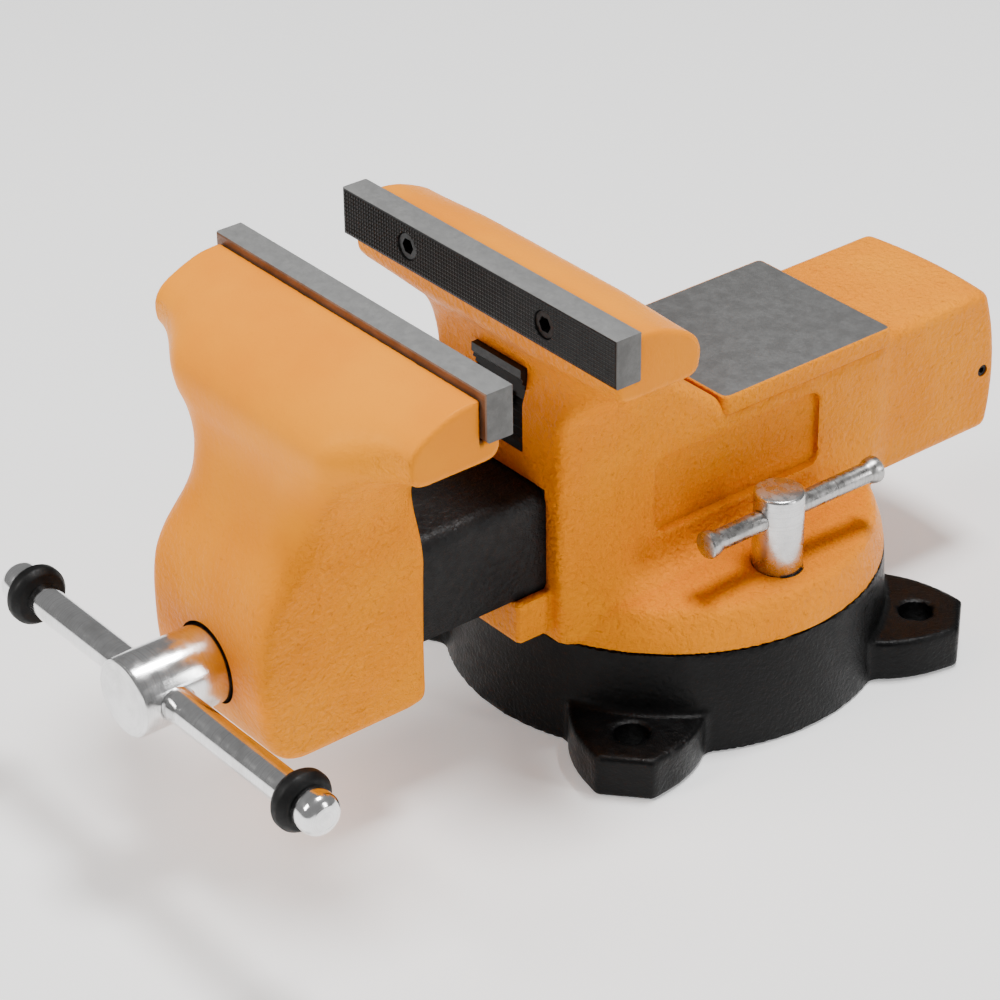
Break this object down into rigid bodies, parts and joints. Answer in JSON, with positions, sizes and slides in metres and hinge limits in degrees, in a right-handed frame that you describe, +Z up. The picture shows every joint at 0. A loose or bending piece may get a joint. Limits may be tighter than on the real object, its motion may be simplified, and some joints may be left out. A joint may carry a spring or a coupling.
{
  "type": "bench vise",
  "caption": "Swivel-base bench vise with wide serrated jaws, anvil, pipe jaws, sliding T-handle and swivel locks.",
  "frame": {"origin": "centre of the swivel base's bolt circle, on its underside", "axes": "+Z up, +Y along the screw from the handle towards the tail, +X across the jaws to the right as seen from the handle"},
  "size_m": [0.2556, 0.5212, 0.2532],
  "materials": {
    "enamelled_casting": "semi-gloss orange enamel over sand-cast iron",
    "base_casting": "semi-gloss black enamel over sand-cast iron",
    "beam_casting": "rough black cast surface",
    "jaw_plate_steel": "ground steel, serrated clamping face",
    "black_steel": "blackened steel",
    "nut_iron": "machined cast iron",
    "zinc_steel": "mottled zinc plate",
    "chrome_steel": "bright plate over turned steel",
    "black_rubber": "smooth black rubber"
  },
  "bodies": {
    "base": {"swivel_base": "base_casting"},
    "swivel": {"static_body": "enamelled_casting", "static_jaw_plate": "jaw_plate_steel", "static_jaw_screws": "black_steel", "static_pipe_jaw": "black_steel", "static_pipe_screw": "black_steel", "main_nut": "nut_iron", "nut_bolts": "black_steel", "tail_set_screws": "black_steel", "pivot_bolt": "zinc_steel", "pivot_washer": "zinc_steel", "lock_stud_right": "zinc_steel", "lock_stud_left": "zinc_steel", "lock_washers": "zinc_steel"},
    "jaw": {"moving_jaw": "enamelled_casting", "slide_beam": "beam_casting", "moving_jaw_plate": "jaw_plate_steel", "moving_jaw_screws": "black_steel", "moving_pipe_jaw": "black_steel", "moving_pipe_screw": "black_steel", "thrust_washer": "zinc_steel"},
    "screw": {"main_screw": "chrome_steel", "retaining_collar": "zinc_steel", "collar_pin": "zinc_steel"},
    "handle": {"handle_bar": "chrome_steel", "handle_cap_left": "chrome_steel", "handle_cap_right": "chrome_steel", "bumper_ring_left": "black_rubber", "bumper_ring_right": "black_rubber"},
    "lock_post_right": {"lock_post_right": "chrome_steel"},
    "lock_bar_right": {"lock_bar_right": "zinc_steel"},
    "lock_post_left": {"lock_post_left": "chrome_steel"},
    "lock_bar_left": {"lock_bar_left": "zinc_steel"}
  },
  "joints": [
    {"name": "base_swivel", "type": "hinge", "parent": "base", "child": "swivel", "pos_m": [0, 0, 0.056], "axis": [0, 0, 1], "continuous": true},
    {"name": "jaw_slide", "type": "slide", "parent": "swivel", "child": "jaw", "axis": [0, 1, 0], "range_m": [-0.14531, 0.05761]},
    {"name": "screw_turn", "type": "hinge", "parent": "jaw", "child": "screw", "pos_m": [0, -0.2592, 0.099], "axis": [0, 1, 0], "range_deg": [-10454, 4140]},
    {"name": "handle_slide", "type": "slide", "parent": "screw", "child": "handle", "axis": [1, 0, 0], "range_m": [-0.088, 0.074]},
    {"name": "lock_turn_right", "type": "hinge", "parent": "swivel", "child": "lock_post_right", "pos_m": [0.082, 0, 0.0785], "axis": [0, 0, 1], "range_deg": [-15, 15]},
    {"name": "lock_bar_slide_right", "type": "slide", "parent": "lock_post_right", "child": "lock_bar_right", "axis": [0, 1, 0], "range_m": [-0.045, 0.027]},
    {"name": "lock_turn_left", "type": "hinge", "parent": "swivel", "child": "lock_post_left", "pos_m": [-0.082, 0, 0.0785], "axis": [0, 0, 1], "range_deg": [-15, 15]},
    {"name": "lock_bar_slide_left", "type": "slide", "parent": "lock_post_left", "child": "lock_bar_left", "axis": [0, 1, 0], "range_m": [-0.045, 0.027]}
  ],
  "couplings": [
    {"joint": "jaw_slide", "follows": "screw_turn", "m_per_rad": 0.00079577}
  ]
}
